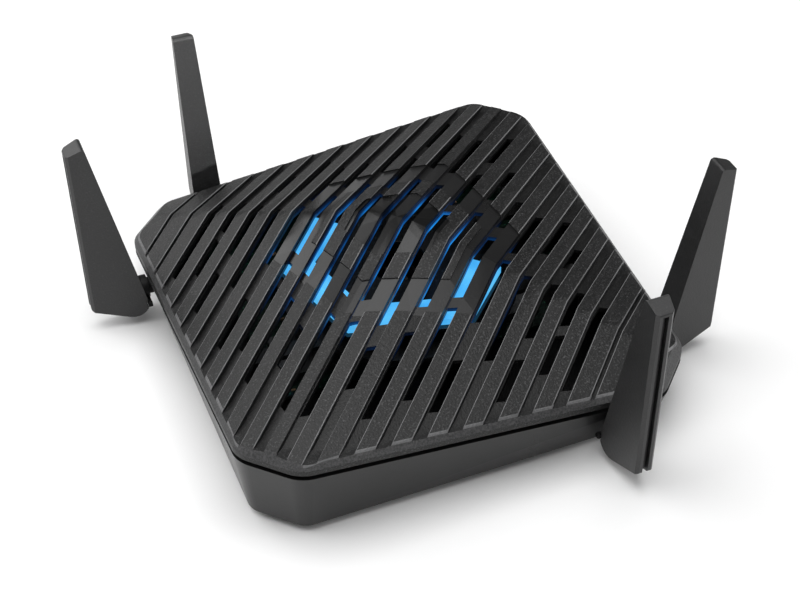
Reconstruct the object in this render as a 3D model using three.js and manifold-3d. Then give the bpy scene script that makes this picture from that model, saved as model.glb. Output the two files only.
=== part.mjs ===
// Desktop wireless router: a square body with cut corners standing on four feet, a ribbed
// pyramid-shaped cover, four folding blade antennas, and the boards, sockets and buttons inside.
// Units are millimetres, +Z is up, z = 0 is the desk. The four side walls face +X, -X, +Y, -Y.
import * as THREE from 'three';
import { mergeVertices } from 'three/addons/utils/BufferGeometryUtils.js';
import Module from 'manifold-3d';

const wasm = await Module();
wasm.setup();

// ---------------------------------------------------------------- driving dimensions
const HALF = 105.36;          // half the side of the square plan at the seam
const CHAMF = 134.2;          // distance of the four cut corners from the centre
const R_VERT = 13;            // rounding of the plan's eight corners
const FOOT_H = 2.5;           // height of the underside above the desk
const DRAFT = 4.15;           // how far the walls lean in between seam and underside
const SEAM_0 = 41.2, SEAM_K = 0.140;   // seam height and its fall towards the low corners
const LIP_0 = 45.0, LIP_K = 0.135;     // top of the cover's vertical lip
const SEAM_GAP = 1.2;         // half the shadow gap between base and cover
const SLOPE_Y = 0.196;        // fall of the ribs along their length, each side of the ridge
const ROOF_0 = 76.4, ROOF_K = 0.331;   // rib tops across the ribs: height carried to the middle, and fall
const CREST = 73.5, CREST_X = 21;      // the middle ribs are flatter: crest height, and where the fall begins
const ARCH = [[0, CREST], [CREST_X, ROOF_0 - ROOF_K * CREST_X], [160, ROOF_0 - ROOF_K * 160]];
const CH_0 = 5.15, CH_PITCH = 11.4, CH_N = 11;   // first channel, spacing, channels on each half
const CH_TOP = 2.45, CH_BOT = 2.2;               // half widths of a channel at top and floor
const RIB_EDGE = 0.32;                           // chamfer along the rib edges
const CH_DEPTH = 2.6, CH_SHALLOW = 2.0;          // channel depth, and depth near the low corners
const RIM = 1.8, RAMP = 0.33, RAMP_D = 0.9;      // channels stop this far from the edge, after a ramp of this slope up to this depth
const SKIN = 4.6;             // rib top to inner face of the cover
const WALL = 2.5;             // wall thickness
const SLOT_HW = 1.9;          // half width of the vent slots in the channel floors
const SLOT_RAKE = 0.75;       // rake of the slot ends
const SLOTS = [               // vent slots: y from / to, for each channel counted from the centre
  [[55, 95], [-46, 41], [-109, -58]],
  [[78, 108], [29, 64], [-54, 22], [-89, -66]],
  [[47, 79], [-37, 33], [-98, -51]],
  [[30, 58], [-24, 20], [-81, -30]],
  [[16, 54], [-31, 9], [-80, -52]],
  [[28, 62], [-45, 6]],
  [[26, 45], [-25, 10], [-60, -37]],
  [[-10.5, 14], [-38, -16]],
  [[-40, 11]],
];
const FACET_DEPTH = 0.7;      // polished fields, sunk into the rib tops
const ANT_S = 59.8;           // antenna centre plane, measured from the middle of its side
const HINGE_Z = 17.5;         // antenna hinge height
const HINGE_R = 5.6;          // antenna knuckle radius
const ANT_T = 4.01;           // half thickness of the blade at its outer edge
const ANT_KT = 0.13;          // growth of that half thickness per mm inward
const ANT_OUT = 28.87;        // outer edge of the blade from the side wall

const SQ2 = Math.SQRT2;
const toDiag = (x, y) => [(x - y) / SQ2, (x + y) / SQ2];
const FLAT = SQ2 * HALF - CHAMF;                 // half width of a corner chamfer: seam and lip are level over it
const seamZ = (x, y) => SEAM_0 - SEAM_K * Math.max(FLAT, Math.abs(toDiag(x, y)[0]));

// ---------------------------------------------------------------- solid helpers
function manifoldOf(geom) {
  const g = geom.clone();
  g.deleteAttribute('normal');
  g.deleteAttribute('uv');
  const m = mergeVertices(g, 1e-4);
  const pos = m.attributes.position.array;
  const idx = m.index.array;
  return new wasm.Manifold(new wasm.Mesh({ numProp: 3, vertProperties: new Float32Array(pos), triVerts: new Uint32Array(idx) }));
}
function fromTris(verts, tris) {
  return new wasm.Manifold(new wasm.Mesh({ numProp: 3, vertProperties: new Float32Array(verts.flat()), triVerts: new Uint32Array(tris.flat()) }));
}
// closes up edges shorter than eps and drops the faces that vanish with them
function tidy(pos, tris, eps) {
  const to = pos.map((_, i) => i);
  const root = i => { while (to[i] !== i) { to[i] = to[to[i]]; i = to[i]; } return i; };
  for (const t of tris) for (let k = 0; k < 3; k++) {
    const a = root(t[k]), b = root(t[(k + 1) % 3]);
    if (a !== b && Math.hypot(pos[a][0] - pos[b][0], pos[a][1] - pos[b][1], pos[a][2] - pos[b][2]) < eps) to[Math.max(a, b)] = Math.min(a, b);
  }
  const kept = new Map();
  for (const t of tris) {
    const [a, b, c] = t.map(root);
    if (a === b || b === c || c === a) continue;
    const key = [a, b, c].sort((x, y) => x - y).join(' ');
    const turn = (a < b ? 1 : -1) * (b < c ? 1 : -1) * (a < c ? 1 : -1);
    const had = kept.get(key);
    if (had && had.turn !== turn) kept.delete(key); else kept.set(key, { tri: [a, b, c], turn });
  }
  // a face with its third corner on its own long edge gives way to the two halves of the face beyond that edge
  let out = [...kept.values()].map(f => f.tri);
  const span = (a, b) => Math.hypot(pos[a][0] - pos[b][0], pos[a][1] - pos[b][1], pos[a][2] - pos[b][2]);
  const height = ([a, b, c]) => {
    const l = [span(a, b), span(b, c), span(c, a)], p = (l[0] + l[1] + l[2]) / 2, m = Math.max(...l);
    return [2 * Math.sqrt(Math.max(0, p * (p - l[0]) * (p - l[1]) * (p - l[2]))) / m, l.indexOf(m)];
  };
  for (let pass = 0; pass < 12; pass++) {
    const owner = new Map();
    out.forEach((t, i) => { for (let k = 0; k < 3; k++) owner.set(t[k] + ' ' + t[(k + 1) % 3], i); });
    const done = new Set(); let turned = 0;
    out.forEach((t, i) => {
      if (done.has(i)) return;
      const [h, k] = height(t);
      if (h > eps / 3) return;
      const a = t[k], b = t[(k + 1) % 3], c = t[(k + 2) % 3];
      const j = owner.get(b + ' ' + a);
      if (j === undefined || done.has(j) || height(out[j])[0] < h) return;
      const d = out[j].find(v => v !== a && v !== b);
      if (d === c || owner.has(c + ' ' + d) || owner.has(d + ' ' + c)) return;
      out[i] = [b, c, d]; out[j] = [c, a, d];
      done.add(i); done.add(j); turned++;
    });
    if (!turned) break;
  }
  return out;
}
function geomOf(man) {
  const mesh = man.getMesh();
  const np = mesh.numProp;
  const at = [];
  for (let i = 0; i < mesh.vertProperties.length; i += np) at.push([...mesh.vertProperties.slice(i, i + 3)]);
  const faces = [];
  for (let i = 0; i < mesh.triVerts.length; i += 3) faces.push([...mesh.triVerts.slice(i, i + 3)]);
  const used = tidy(at, faces, 0.006);
  const g = new THREE.BufferGeometry();
  g.setAttribute('position', new THREE.BufferAttribute(new Float32Array(at.flat()), 3));
  g.setIndex(used.flat());
  const flat = g.toNonIndexed();
  flat.computeVertexNormals();
  return flat;
}
function box(x0, y0, z0, x1, y1, z1) {
  const g = new THREE.BoxGeometry(x1 - x0, y1 - y0, z1 - z0);
  g.translate((x0 + x1) / 2, (y0 + y1) / 2, (z0 + z1) / 2);
  return manifoldOf(g);
}
// cylinder along an axis ('x', 'y' or 'z') from a to b, centred on the other two coordinates
function cyl(axis, a, b, c0, c1, r, seg = 28, r2 = r) {
  const g = new THREE.CylinderGeometry(r2, r, b - a, seg);
  if (axis === 'z') { g.rotateX(Math.PI / 2); g.translate(c0, c1, (a + b) / 2); }
  if (axis === 'x') { g.rotateZ(-Math.PI / 2); g.translate((a + b) / 2, c0, c1); }
  if (axis === 'y') { g.translate(c0, (a + b) / 2, c1); }
  return manifoldOf(g);
}
// polygon [[x, y], ...] pushed up from z0 to z1
function prism(pts, z0, z1) {
  const shape = new THREE.Shape(pts.map(p => new THREE.Vector2(p[0], p[1])));
  const g = new THREE.ExtrudeGeometry(shape, { depth: z1 - z0, bevelEnabled: false });
  g.translate(0, 0, z0);
  return manifoldOf(g);
}
// closed body through a stack of rings with the same number of points, low ring first
function loft(rings, zLow, zHigh) {
  const n = rings[0].length;
  const v = []; const t = [];
  for (const r of rings) for (const p of r) v.push(p);
  for (let k = 0; k + 1 < rings.length; k++) {
    for (let i = 0; i < n; i++) {
      const j = (i + 1) % n;
      const a = k * n + i, b = k * n + j, c = (k + 1) * n + j, d = (k + 1) * n + i;
      t.push([a, b, c], [a, c, d]);
    }
  }
  const lo = v.length; v.push([0, 0, zLow]);
  const hi = v.length; v.push([0, 0, zHigh]);
  const top = (rings.length - 1) * n;
  for (let i = 0; i < n; i++) {
    const j = (i + 1) % n;
    t.push([lo, j, i], [hi, top + i, top + j]);
  }
  return fromTris(v, t);
}
function unite(list) {
  let m = list[0];
  for (let i = 1; i < list.length; i++) m = m.add(list[i]);
  return m;
}
function cut(body, list) {
  for (const c of list) body = body.subtract(c);
  return body;
}

// ---------------------------------------------------------------- plan outline
// counter-clockwise ring of the rounded eight-cornered plan, moved in by d
function outline(d, seg = 5) {
  const h = HALF - d;
  const k = SQ2 * (CHAMF - d) - h;
  const v = [[h, -k], [h, k], [k, h], [-k, h], [-h, k], [-h, -k], [-k, -h], [k, -h]];
  const r = Math.max(1.5, R_VERT - 0.8 * d);
  const out = [];
  for (let i = 0; i < 8; i++) {
    const p = v[i], a = v[(i + 7) % 8], b = v[(i + 1) % 8];
    const u1 = new THREE.Vector2(a[0] - p[0], a[1] - p[1]).normalize();
    const u2 = new THREE.Vector2(b[0] - p[0], b[1] - p[1]).normalize();
    const bis = u1.clone().add(u2).normalize();
    const c = new THREE.Vector2(p[0], p[1]).add(bis.multiplyScalar(r / Math.cos(Math.PI / 8)));
    const a0 = Math.atan2(p[1] + u1.y * r * Math.tan(Math.PI / 8) - c.y, p[0] + u1.x * r * Math.tan(Math.PI / 8) - c.x);
    for (let s = 0; s <= seg; s++) {
      const ang = a0 + (Math.PI / 4) * s / seg;
      out.push([c.x + r * Math.cos(ang), c.y + r * Math.sin(ang)]);
    }
    // a point in the middle of each cut corner, where the roof planes of the seam meet
    if (i % 2 === 1) { const w = v[i], q = v[(i + 1) % 8]; out.push([(w[0] + q[0]) / 2, (w[1] + q[1]) / 2]); }
  }
  return out;
}
const ring = (d, z) => outline(d).map(p => [p[0], p[1], typeof z === 'function' ? z(p[0], p[1]) : z]);

// ---------------------------------------------------------------- the arched, ridged rib surface
function arch(x) {
  const a = Math.abs(x);
  for (let i = 0; i + 1 < ARCH.length; i++) {
    if (a <= ARCH[i + 1][0]) {
      const t = (a - ARCH[i][0]) / (ARCH[i + 1][0] - ARCH[i][0]);
      return ARCH[i][1] + t * (ARCH[i + 1][1] - ARCH[i][1]);
    }
  }
  return ARCH[ARCH.length - 1][1];
}
const chX = k => CH_0 + CH_PITCH * k;
const knots = [];
for (let k = CH_N - 1; k >= 0; k--) knots.push(-chX(k));
for (let k = 0; k < CH_N; k++) knots.push(chX(k));
knots.unshift(-150); knots.push(150);
// profile in x and z (diagonal frame) carried along y, falling on both sides of the ridge, then
// turned so that the ribs run corner to corner
function ridged(profile, reach = 150) {
  const contour = profile.map(p => new THREE.Vector2(p[0], p[1]));
  if (THREE.ShapeUtils.area(contour) < 0) contour.reverse();
  const n = contour.length;
  const cap = THREE.ShapeUtils.triangulateShape(contour, []);
  const ys = [-reach, 0, reach];
  const v = []; const t = [];
  const c = Math.cos(-Math.PI / 4), s = Math.sin(-Math.PI / 4);
  for (const y of ys) for (const p of contour) v.push([p.x * c - y * s, p.x * s + y * c, p.y - SLOPE_Y * Math.abs(y)]);
  for (const f of cap) { t.push([f[0], f[1], f[2]]); t.push([2 * n + f[0], 2 * n + f[2], 2 * n + f[1]]); }
  for (let k = 0; k < 2; k++) for (let i = 0; i < n; i++) {
    const j = (i + 1) % n;
    const a = k * n + i, b = k * n + j, cc = (k + 1) * n + j, d = (k + 1) * n + i;
    t.push([a, cc, b], [a, d, cc]);
  }
  return fromTris(v, t);
}
const under = (off, low = -60) => ridged([...knots.map(x => [x, arch(x) - off]), [150, low], [-150, low]]);
const over = (off, high = 120) => ridged([...knots.map(x => [x, arch(x) - off]), [150, high], [-150, high]]);

// solid below one plane z = a + b x + c y
function below(a, b, c) {
  const R = 220;
  const z = (x, y) => a + b * x + c * y;
  const v = [[-R, -R, -400], [R, -R, -400], [R, R, -400], [-R, R, -400],
    [-R, -R, z(-R, -R)], [R, -R, z(R, -R)], [R, R, z(R, R)], [-R, R, z(-R, R)]];
  const t = [[0, 2, 1], [0, 3, 2], [4, 5, 6], [4, 6, 7], [0, 1, 5], [0, 5, 4], [1, 2, 6], [1, 6, 5], [2, 3, 7], [2, 7, 6], [3, 0, 4], [3, 4, 7]];
  return fromTris(v, t);
}
// the ramps on which the channel floors climb towards the rim
function ramped(body) {
  const kc = (CREST - (ROOF_0 - ROOF_K * CREST_X)) / CREST_X;
  const far = 300, over = 0.02;
  for (const [nx, ny, sx, sy] of [[0, -1, 1, -1], [-1, 0, -1, -1], [1, 0, 1, 1], [0, 1, -1, 1]]) {
    const quarter = prism([[-nx * over, -ny * over], [(nx + ny) * far, (ny - nx) * far], [(nx - ny) * far, (ny + nx) * far]], 0, 120);
    const bySide = below(ROOF_0 - RAMP_D - RAMP * (HALF - RIM),
      (-ROOF_K * sx - SLOPE_Y * sy) / SQ2 + RAMP * nx, (ROOF_K * sx - SLOPE_Y * sy) / SQ2 + RAMP * ny);
    const byCorner = below(CREST - RAMP_D - RAMP * (CHAMF - RIM),
      (-kc * sx - SLOPE_Y * sy) / SQ2 + RAMP * sy / SQ2, (kc * sx - SLOPE_Y * sy) / SQ2 + RAMP * sy / SQ2);
    body = body.subtract(quarter.intersect(bySide)).subtract(quarter.intersect(byCorner));
  }
  return body;
}
// the bevel that climbs inward from the lip, one plane for each straight piece of the outline
function bevelled(body, drop, m = 1.05) {
  const o = outline(0);
  for (let i = 0; i < o.length; i++) {
    const p = o[i], q = o[(i + 1) % o.length];
    const len = Math.hypot(q[0] - p[0], q[1] - p[1]);
    if (len < 1e-6) continue;
    const nx = (q[1] - p[1]) / len, ny = -(q[0] - p[0]) / len;
    const h = nx * p[0] + ny * p[1];
    const mid = toDiag((p[0] + q[0]) / 2, (p[1] + q[1]) / 2)[0];
    const sg = Math.abs(mid) < FLAT ? 0 : Math.sign(mid);
    // z <= LIP_0 - LIP_K |xd| - drop + m (h - n.p)
    body = body.intersect(below(LIP_0 - (sg ? 0 : LIP_K * FLAT) - drop + m * h, -LIP_K * sg / SQ2 - m * nx, LIP_K * sg / SQ2 - m * ny));
  }
  return body;
}

// ---------------------------------------------------------------- base tub
const half = WALL;
const baseOuter = loft([
  ring(6.6, FOOT_H), ring(4.5, FOOT_H + 1.9),
  ring(0, (x, y) => seamZ(x, y) - SEAM_GAP),
], FOOT_H, SEAM_0 - SEAM_GAP);
const cavLow = loft([ring(DRAFT + 3.4, FOOT_H + 2.5), ring(half + 0.1, (x, y) => seamZ(x, y) - 2.6)], FOOT_H + 2.5, SEAM_0 - 2.6);
const cavHigh = loft([ring(4.5 + 3.0, FOOT_H + 2.5), ring(4.5, (x, y) => seamZ(x, y) - 8), ring(4.5, 90)], FOOT_H + 2.5, 90);
let tongue = loft([ring(2.9, (x, y) => seamZ(x, y) - 3.2), ring(2.9, (x, y) => seamZ(x, y) + 2.2)], SEAM_0 - 3.2, SEAM_0 + 2.2)
  .subtract(loft([ring(4.5, (x, y) => seamZ(x, y) - 5), ring(4.5, (x, y) => seamZ(x, y) + 5)], SEAM_0 - 5, SEAM_0 + 5))
  .intersect(under(SKIN + 0.6));
let tub = baseOuter.subtract(cavLow.add(cavHigh)).add(tongue);

// bosses for the four screws, carrying the cover's posts
const SCREW = 80;
const screwAt = [[SCREW, SCREW], [-SCREW, SCREW], [-SCREW, -SCREW], [SCREW, -SCREW]];
for (const [x, y] of screwAt) tub = tub.add(cyl('z', 4.6, 13.6, x, y, 4.6, 24));
for (const [x, y] of screwAt) {
  tub = tub.subtract(cyl('z', 0, 7, x, y, 3.4, 24)).subtract(cyl('z', 6, 15, x, y, 1.7, 20));
}
// standoffs for the main board and seats for the inner frame's legs
const standAt = [[-64, -24], [64, -24], [-64, 66], [64, 66]];
for (const [x, y] of standAt) tub = tub.add(cyl('z', 4.6, 7.7, x, y, 3, 16));

// rear socket bay: a vertical panel set back in the +Y wall
const BAY = { x0: -44, x1: 86, z0: 7.0, z1: 23.4, face: 99.8, back: 97.2 };
const bodyOut = loft([ring(6.6, FOOT_H), ring(4.5, FOOT_H + 1.9), ring(0, (x, y) => seamZ(x, y) - SEAM_GAP)], FOOT_H, SEAM_0 - SEAM_GAP);
tub = tub.add(box(BAY.x0 - 2.4, BAY.back, 4.6, BAY.x1 + 2.4, 103, BAY.z1 + 2).intersect(bodyOut));
tub = tub.subtract(box(BAY.x0, BAY.face, BAY.z0, BAY.x1, 112, BAY.z1));
// side bay in the +X wall for the buttons and the data port
const SIDE = { y0: 8, y1: 76, z0: 8, z1: 22, face: 99.8, back: 97.2 };
tub = tub.add(box(SIDE.back, SIDE.y0 - 2.4, 4.6, 103, SIDE.y1 + 2.4, SIDE.z1 + 2).intersect(bodyOut));
tub = tub.subtract(box(SIDE.face, SIDE.y0, SIDE.z0, 112, SIDE.y1, SIDE.z1));

// socket windows
const PCB_Z0 = 8.0, PCB_Z1 = 9.6;
const JACK_W = 15.4, JACK_Z0 = PCB_Z1 + 0.3, JACK_Z1 = 22.6, JACK_Y0 = 82, JACK_Y1 = 99.2;
const jackX = { wan_jack: -9, lan_jack_1: 15, lan_jack_2: 32.5, lan_jack_3: 50, lan_jack_4: 67.5 };
for (const k in jackX) tub = tub.subtract(box(jackX[k] - JACK_W / 2 - 0.3, 96, JACK_Z0 - 0.3, jackX[k] + JACK_W / 2 + 0.3, 101, JACK_Z1 + 0.3));
const DC_X = -31;
tub = tub.subtract(box(DC_X - 4.8, 96, PCB_Z1, DC_X + 4.8, 101, 20.7));
const RESET_X = 80.6;
tub = tub.subtract(cyl('y', 96, 101, RESET_X, 14, 1.5, 16));
const USB_Y = 62, POWER_Y = 40, WPS_Y = 22;
tub = tub.subtract(box(96, USB_Y - 7.1, PCB_Z1 + 1.0, 101, USB_Y + 7.1, 18.0));
for (const y of [POWER_Y, WPS_Y]) tub = tub.subtract(cyl('x', 96, 101, y, 14.5, 4.3, 28));

// vents in the floor, feet recesses and label recess
for (let i = -4; i <= 4; i++) tub = tub.subtract(box(i * 9 - 1.5, 14, 1, i * 9 + 1.5, 58, 6));
const footAt = [[56, 86], [-56, 86], [-56, -86], [56, -86]];
for (const [x, y] of footAt) tub = tub.subtract(cyl('z', 1, FOOT_H + 0.9, x, y, 8.3, 28));
tub = tub.subtract(box(-36, -58, 1, 36, -22, FOOT_H + 0.6));

// ---------------------------------------------------------------- antennas
// local frame of one antenna: u outward from the side wall, s along the wall, z up
const corner = { q: [[-0.38, 1.17], [ANT_OUT, 12.75], [ANT_OUT, 103.8], [20.31, 107.1]] };
function roundCorner(prev, p, next, r, seg) {
  const a = new THREE.Vector2(prev[0] - p[0], prev[1] - p[1]).normalize();
  const b = new THREE.Vector2(next[0] - p[0], next[1] - p[1]).normalize();
  const half = Math.acos(Math.max(-1, Math.min(1, a.dot(b)))) / 2;
  const c = new THREE.Vector2(p[0], p[1]).add(a.clone().add(b).normalize().multiplyScalar(r / Math.sin(half)));
  const tl = r / Math.tan(half);
  const p0 = new THREE.Vector2(p[0], p[1]).add(a.clone().multiplyScalar(tl));
  const p1 = new THREE.Vector2(p[0], p[1]).add(b.clone().multiplyScalar(tl));
  const a0 = Math.atan2(p0.y - c.y, p0.x - c.x);
  let da = Math.atan2(p1.y - c.y, p1.x - c.x) - a0;
  while (da > Math.PI) da -= 2 * Math.PI;
  while (da < -Math.PI) da += 2 * Math.PI;
  const out = [];
  for (let i = 0; i <= seg; i++) out.push([c.x + r * Math.cos(a0 + da * i / seg), c.y + r * Math.sin(a0 + da * i / seg)]);
  return out;
}
const innerU = z => -0.38 + (z - 1.17) * (20.31 + 0.38) / (107.1 - 1.17);
const q = corner.q;
const bladeOutline = [
  ...roundCorner(q[3], q[0], q[1], 7, 7),
  ...roundCorner(q[0], q[1], q[2], 1.6, 3),
  ...roundCorner(q[1], q[2], q[3], 0.9, 2),
  ...roundCorner(q[2], q[3], q[0], 1.6, 3),
];
// polygon in (u, z) with a half thickness that depends on u; returned in the local frame (u, s, z)
function slab(pts, halfAt) {
  const contour = pts.map(p => new THREE.Vector2(p[0], p[1]));
  if (THREE.ShapeUtils.area(contour) < 0) contour.reverse();
  const n = contour.length;
  const cap = THREE.ShapeUtils.triangulateShape(contour, []);
  const v = []; const t = [];
  for (const p of contour) v.push([p.x, -halfAt(p.x), p.y]);
  for (const p of contour) v.push([p.x, halfAt(p.x), p.y]);
  for (const f of cap) { t.push([f[0], f[1], f[2]]); t.push([n + f[0], n + f[2], n + f[1]]); }
  for (let i = 0; i < n; i++) { const j = (i + 1) % n; t.push([i, n + j, j], [i, n + i, n + j]); }
  return fromTris(v, t);
}
const bladeHalf = u => ANT_T + ANT_KT * (ANT_OUT - u);
function makeAntenna() {
  let blade = slab(bladeOutline, bladeHalf);
  // chamfers along the two outer edges of the narrow face
  const ch = 1.3;
  for (const sg of [1, -1]) {
    const e = [[ANT_OUT - ch, bladeHalf(ANT_OUT - ch)], [ANT_OUT + 1, bladeHalf(ANT_OUT - ch)], [ANT_OUT + 1, ANT_T - ch - 1.1 * 1]];
    const tri = e.map(p => [p[0], p[1] * sg]);
    if (sg < 0) tri.reverse();
    blade = blade.subtract(prism(tri, -5, 120));
  }
  // groove down the outer edge, pocket for the radiator, seat for the knuckle
  blade = blade.subtract(slab([[24.4, -3], [40, -3], [40, 101.6], [24.4, 102.9]], () => 1.3));
  blade = blade.subtract(slab([[12, 30], [24.8, 30], [24.8, 95], [20.8, 95]], () => 1.9));
  blade = blade.subtract(cyl('x', -5, 3.9, 0, HINGE_Z, HINGE_R + 0.35, 36));
  blade = blade.subtract(cyl('x', 2, 12.3, 0, HINGE_Z, 5.3, 28));
  for (const g of [1, -1]) blade = blade.subtract(cyl('x', -5, 2.8, 7.7 * g, HINGE_Z - 5.2, 1.9, 16));
  blade = blade.subtract(box(-5, -7.7, HINGE_Z - 7.1, 2.8, 7.7, HINGE_Z - 3.3));
  // recessed strip in the groove
  const topAt = u => 103.8 + (ANT_OUT - u) * (107.1 - 103.8) / (ANT_OUT - 20.31);
  const botAt = u => 12.75 - (ANT_OUT - u) * (12.75 - 1.17) / (ANT_OUT + 0.38);
  const spine = slab([[24.75, botAt(24.75) + 1.2], [27.1, botAt(27.1) + 1.2], [27.1, topAt(27.1) - 3.1], [24.75, topAt(24.75) - 3.1]], () => 0.95);
  // radiator board
  const element = slab([[14.2, 33], [24.2, 33], [24.2, 92], [21.4, 92]], () => 0.5)
    .subtract(slab([[17.5, 42], [20.2, 42], [20.2, 58], [17.5, 58]], () => 2))
    .subtract(slab([[20.6, 66], [22.6, 66], [22.6, 84], [20.6, 84]], () => 2));
  // knuckle: disc against the wall, hub in the blade, shaft through the wall, retaining head
  const pivot = unite([
    cyl('x', 0.4, 3.5, 0, HINGE_Z, HINGE_R, 36),
    cyl('x', 3.2, 12.0, 0, HINGE_Z, 5.0, 28),
    cyl('x', -10.2, 0.8, 0, HINGE_Z, 4.0, 28),
    cyl('x', -11.8, -10.0, 0, HINGE_Z, 5.2, 28),
    box(0.5, -7.7, HINGE_Z - 6.3, 2.4, 7.7, HINGE_Z - 4.1),
    ...[1, -1].map(g => cyl('x', 0.5, 2.4, 7.7 * g, HINGE_Z - 5.2, 1.5, 14)),
  ]).subtract(cyl('x', -13, 9, 0, HINGE_Z, 1.6, 16));
  // spring washer between boss and head
  const washer = cyl('x', -9.7, -8.3, 0, HINGE_Z, 6.6, 28).subtract(cyl('x', -11, -7, 0, HINGE_Z, 4.3, 28));
  return { blade, spine, element, pivot, washer };
}
const ant = makeAntenna();
// placement of the local frame: [name, turn about z in degrees, centre of the hinge's wall point]
const sides = {
  antenna_left: { ang: 180, at: [-HALF, ANT_S] },
  antenna_back: { ang: 90, at: [-ANT_S, HALF] },
  antenna_right: { ang: 0, at: [HALF, -ANT_S] },
  antenna_front: { ang: -90, at: [ANT_S, -HALF] },
};
function place(man, side) {
  const a = side.ang;
  return man.rotate([0, 0, a]).translate([side.at[0], side.at[1], 0]);
}
// hinge bosses and bores in the tub
for (const k in sides) {
  const boss = cyl('x', -8.0, -3.2, 0, HINGE_Z, 7.2, 32);
  tub = tub.add(place(boss, sides[k]));
  tub = tub.subtract(place(cyl('x', -9, 3, 0, HINGE_Z, 4.3, 28), sides[k]));
}

// ---------------------------------------------------------------- top cover
let cover = loft([ring(0, (x, y) => seamZ(x, y) + SEAM_GAP), ring(0, 90)], SEAM_0 + SEAM_GAP, 90);
cover = bevelled(cover, 0).intersect(under(0));
let coverCav = loft([ring(WALL, 0), ring(WALL, 90)], 0, 90);
coverCav = bevelled(coverCav, 2.4).intersect(under(SKIN));
cover = cover.subtract(coverCav);
// channels between the ribs
const inset = ramped(loft([ring(RIM, 0), ring(RIM, 110)], 0, 110));
for (let k = 0; k < CH_N; k++) for (const sg of [1, -1]) {
  const xc = chX(k) * sg;
  const dep = k < 8 ? CH_DEPTH : CH_SHALLOW;
  const wt = k < 9 ? CH_TOP : 0.95, wb = k < 9 ? CH_BOT : 0.7;
  const e = RIB_EDGE;
  const c = ridged([[xc - wb, arch(xc - wb) - dep], [xc + wb, arch(xc + wb) - dep],
    [xc + wt, arch(xc + wt) - e], [xc + wt + e + 0.02, arch(xc + wt + e) + 0.02], [xc + wt + e + 0.02, arch(xc) + 8],
    [xc - wt - e - 0.02, arch(xc) + 8], [xc - wt - e - 0.02, arch(xc - wt - e) + 0.02], [xc - wt, arch(xc - wt) - e]]);
  cover = cover.subtract(c.intersect(inset));
}
// vent slots with raked ends
const diagPt = (x, y) => [(x + y) / SQ2, (-x + y) / SQ2];
for (let k = 0; k < SLOTS.length; k++) for (const sg of [1, -1]) for (const [ya, yb] of SLOTS[k]) {
  const xi = (chX(k) - SLOT_HW), xo = (chX(k) + SLOT_HW);
  const dy = SLOT_RAKE * SLOT_HW;
  let pts = [[xi, ya - dy], [xo, ya + dy], [xo, yb + dy], [xi, yb - dy]].map(([x, y]) => diagPt(x * sg, y));
  if (sg < 0) pts.reverse();
  cover = cover.subtract(prism(pts, 10, 90));
}
// polished fields: a six-sided band and a small six-sided centre, sunk into the rib tops
const hex = (r, turn = 0) => [...Array(6)].map((_, i) => diagPt(r * Math.cos(Math.PI / 3 * i + turn), r * Math.sin(Math.PI / 3 * i + turn)));
const skinBand = over(FACET_DEPTH);
const fields = prism(hex(58, Math.PI / 6), 0, 110).subtract(prism(hex(39, Math.PI / 6), -1, 111)).add(prism(hex(24, Math.PI / 6), 0, 110));
cover = cover.subtract(skinBand.intersect(fields));
// screw posts under the cover
for (const [x, y] of screwAt) {
  const post = cyl('z', 13.9, 80, x, y, 4.2, 24).intersect(under(SKIN - 0.6));
  cover = cover.add(post).subtract(cyl('z', 10, 24, x, y, 1.7, 20));
}

// ---------------------------------------------------------------- inside
const disc = (r, z0, z1, seg = 40) => cyl('z', z0, z1, 0, 0, r, seg);
const legAt = [[76, 26], [-76, 26], [-76, -26], [76, -26]];
let frame = disc(56, 33, 35.4).subtract(disc(20, 30, 40, 32));
for (const sy of [26, -26]) frame = frame.add(box(-80, sy - 4, 33, 80, sy + 4, 35.4));
frame = frame.subtract(disc(20, 30, 40, 32));
for (const [x, y] of legAt) frame = frame.add(box(x - 4, y - 4, 5.3, x + 4, y + 4, 35.4));
const postAt = [[30, 30], [-30, 30], [-30, -30], [30, -30]];
for (const [x, y] of postAt) frame = frame.add(cyl('z', 35, 43.7, x, y, 3, 16));

// light board with its small light sources, and the six-sided light guide standing over it
const hexR = (r0, r1, z0, z1) => prism(hex(r1, Math.PI / 6), z0, z1).subtract(prism(hex(r0, Math.PI / 6), z0 - 1, z1 + 1));
let lightBoard = prism(hex(56, Math.PI / 6), 44, 45.6).subtract(disc(14, 40, 50, 24));
for (let i = 0; i < 12; i++) {
  const a = Math.PI / 6 * i, r = 43;
  lightBoard = lightBoard.add(box(r * Math.cos(a) - 2, r * Math.sin(a) - 2, 45.2, r * Math.cos(a) + 2, r * Math.sin(a) + 2, 46.6));
}
const openEnd = prism([diagPt(-80, 9), diagPt(80, 9), diagPt(80, 90), diagPt(-80, 90)], 40, 60);
const guide = hexR(39, 55, 47.0, 50.5).add(hexR(44, 49, 50.0, 52.4)).subtract(openEnd);

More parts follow.
